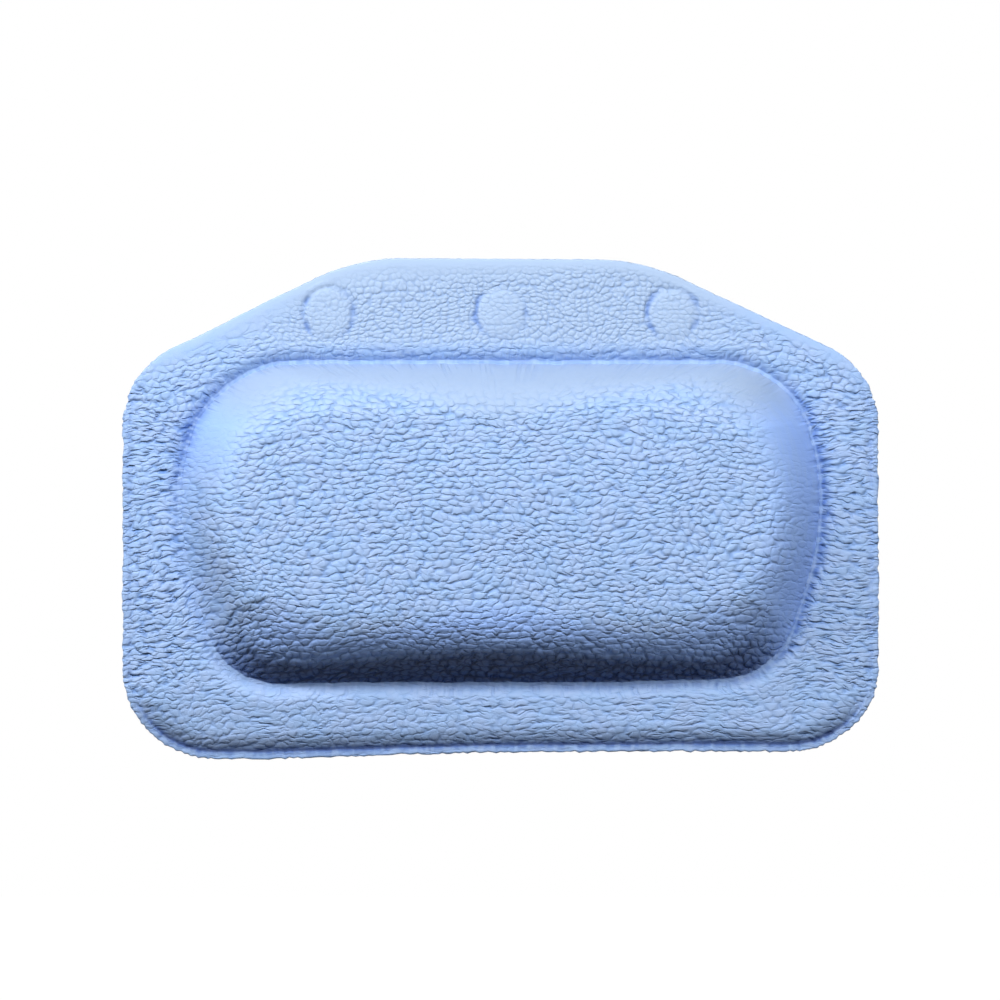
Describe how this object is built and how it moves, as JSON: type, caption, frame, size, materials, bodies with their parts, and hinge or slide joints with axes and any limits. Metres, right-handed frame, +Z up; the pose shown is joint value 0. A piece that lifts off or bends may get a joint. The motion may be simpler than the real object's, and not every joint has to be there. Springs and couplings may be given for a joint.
{
  "type": "bath pillow",
  "caption": "Cushioned head rest for a bath: a textured PVC pillow with a flat flange and a flap held to the wall by suction cups.",
  "frame": {"origin": "on the wall of the bath, at the middle of the middle suction cup's rim", "axes": "+Z up, +X to the right as seen from the bath, +Y into the wall; the head rests on the side that faces -Y"},
  "size_m": [0.312, 0.04, 0.206],
  "materials": {
    "front_sheet": "satin",
    "back_sheet": "satin",
    "foam": "matte",
    "washer": "satin",
    "cup": "gloss"
  },
  "bodies": {
    "pillow": {"front_cover": "front_sheet", "back_cover": "back_sheet", "foam_core": "foam", "retaining_washer_left": "washer", "retaining_washer_middle": "washer", "retaining_washer_right": "washer"},
    "cup_left": {"suction_cup_left": "cup"},
    "cup_middle": {"suction_cup_middle": "cup"},
    "cup_right": {"suction_cup_right": "cup"}
  },
  "joints": [
    {"name": "cup_left_swivel", "type": "hinge", "parent": "pillow", "child": "cup_left", "pos_m": [-0.07076, 0, 0], "axis": [0, 1, 0], "continuous": true},
    {"name": "cup_middle_swivel", "type": "hinge", "parent": "pillow", "child": "cup_middle", "pos_m": [0, 0, 0], "axis": [0, 1, 0], "continuous": true},
    {"name": "cup_right_swivel", "type": "hinge", "parent": "pillow", "child": "cup_right", "pos_m": [0.07076, 0, 0], "axis": [0, 1, 0], "continuous": true}
  ]
}
